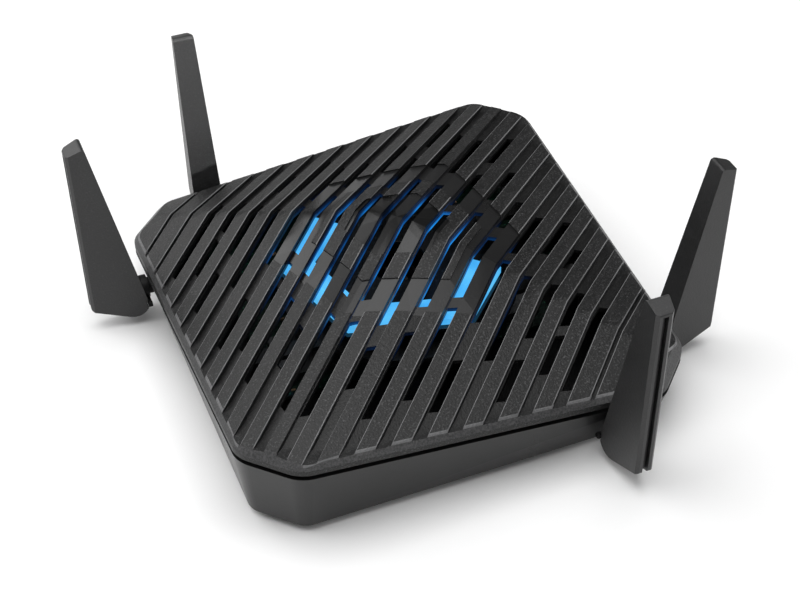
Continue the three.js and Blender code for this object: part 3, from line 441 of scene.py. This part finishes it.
# ------------------------------------------------------------------ edge rounding per node
for name, o in N.items():
    if name == "top_cover":
        soften(o, 0.00028, 1, 30)
    elif name == "base_tub":
        soften(o, 0.0004, 2, 32)
    elif name.endswith("_blade"):
        soften(o, 0.0007, 3, 28)
    elif name.startswith("foot") or name.endswith("_pivot") or name.endswith("_button"):
        soften(o, 0.0003, 2, 35)
    elif name.endswith("_jack") or name.startswith("lan_jack") or name in ("usb_port", "inner_frame"):
        soften(o, 0.0002, 2, 35)
    else:
        soften(o, 0.00012, 1, 35)

# ------------------------------------------------------------------ floor, light, camera
def snoot(name, loc, target, watts, angle, radius=0.06):
    l = bpy.data.lights.new(name, "SPOT")
    l.energy = watts; l.spot_size = math.radians(angle); l.spot_blend = 0.6; l.shadow_soft_size = radius
    o = bpy.data.objects.new(name, l)
    scene.collection.objects.link(o)
    o.location = loc
    o.rotation_mode = "QUATERNION"
    o.rotation_quaternion = (Vector(target) - Vector(loc)).to_track_quat("-Z", "Y")
    return o


floor_mat = bpy.data.materials.new("floor_white")
floor_mat.use_nodes = True
nt = floor_mat.node_tree
fb = nt.nodes["Principled BSDF"]
tcn = nt.nodes.new("ShaderNodeTexCoord"); nz = nt.nodes.new("ShaderNodeTexNoise"); nz.inputs["Scale"].default_value = 3.0
nt.links.new(tcn.outputs["Object"], nz.inputs["Vector"])
rp = nt.nodes.new("ShaderNodeValToRGB")
rp.color_ramp.elements[0].color = (0.90, 0.90, 0.90, 1); rp.color_ramp.elements[1].color = (0.93, 0.93, 0.93, 1)
nt.links.new(nz.outputs["Fac"], rp.inputs["Fac"]); nt.links.new(rp.outputs["Color"], fb.inputs["Base Color"])
fb.inputs["Roughness"].default_value = 0.9
fb.inputs["Specular IOR Level"].default_value = 0.1
me = bpy.data.meshes.new("floor")
R = 0.92
me.from_pydata([(R * math.cos(i * math.pi / 48), R * math.sin(i * math.pi / 48), 0) for i in range(96)], [], [tuple(range(96))])
floor = bpy.data.objects.new("floor", me)
me.materials.append(floor_mat)
scene.collection.objects.link(floor)

world = bpy.data.worlds.new("studio")
scene.world = world
world.use_nodes = True
bg = world.node_tree.nodes["Background"]
bg.inputs["Color"].default_value = (1, 1, 1, 1)
wt = world.node_tree
path = wt.nodes.new("ShaderNodeLightPath")
seen = wt.nodes.new("ShaderNodeMapRange")
seen.inputs["To Min"].default_value = 0.10      # what lights the object
seen.inputs["To Max"].default_value = 1.0       # the white backdrop itself
wt.links.new(path.outputs["Is Camera Ray"], seen.inputs["Value"])
wt.links.new(seen.outputs["Result"], bg.inputs["Strength"])


def area(name, loc, target, size, power, size_y=None, color=(1, 1, 1)):
    l = bpy.data.lights.new(name, "AREA")
    l.energy = power; l.size = size; l.color = color
    if size_y: l.shape = "RECTANGLE"; l.size_y = size_y
    o = bpy.data.objects.new(name, l)
    scene.collection.objects.link(o)
    o.location = loc
    o.rotation_mode = "QUATERNION"
    o.rotation_quaternion = (Vector(target) - Vector(loc)).to_track_quat("-Z", "Y")
    return o


VIEW = math.radians(-21.65)
SIDE = Vector((math.cos(VIEW), math.sin(VIEW), 0))     # to the right of the viewer
AWAY = Vector((-math.sin(VIEW), math.cos(VIEW), 0))    # away from the viewer
for lname, side, away, height, lsize, watts in (
    ("key_top", 0.0, 0.0, 1.8, 1.6, 27.0),
    ("top_left", -1.2, 0.0, 1.3, 1.2, 12.0),
    ("top_front", 0.0, -1.3, 1.5, 1.2, 3.2),
    ("right_low", 1.7, 0.0, 0.55, 1.0, 9.0),
    ("back_left", -1.2, 1.2, 0.9, 1.0, 8.8),
):
    area(lname, SIDE * side + AWAY * away + Vector((0, 0, height)), (0, 0, 0.04), lsize, watts)

snoot("far_antenna_lamp", (-0.02, -1.5, 0.42), (-0.060, 0.115, 0.083), 150.0, 3.6)

cam_data = bpy.data.cameras.new("camera")
cam = bpy.data.objects.new("camera", cam_data)
scene.collection.objects.link(cam)
cam_data.sensor_width = 36.0
cam_data.lens = 1608.0434 * 36.0 / 800.0
cam_data.clip_start, cam_data.clip_end = 0.02, 60.0
AZ, EL, DIST, ROLL = 0.4074517 - math.pi / 4, 0.7290232, 0.7526167, -0.0089289
c, s = math.cos(-math.pi / 4), math.sin(-math.pi / 4)
tx, ty, tz = 0.0028342, -0.0036672, 0.0252652
target = Vector((tx * c - ty * s, tx * s + ty * c, tz))
back = Vector((math.sin(AZ) * math.cos(EL), -math.cos(AZ) * math.cos(EL), math.sin(EL)))
right = (-back).cross(Vector((0, 0, 1))).normalized()
up = right.cross(-back)
r2 = math.cos(ROLL) * right + math.sin(ROLL) * up
u2 = -math.sin(ROLL) * right + math.cos(ROLL) * up
pos = target + back * DIST
cam.matrix_world = Matrix(((r2.x, u2.x, back.x, pos.x), (r2.y, u2.y, back.y, pos.y), (r2.z, u2.z, back.z, pos.z), (0, 0, 0, 1)))
scene.camera = cam

scene.view_settings.view_transform = "Standard"
scene.view_settings.look = "None"
scene.view_settings.exposure = 0.0
scene.view_settings.gamma = 1.0

bpy.context.view_layer.update()
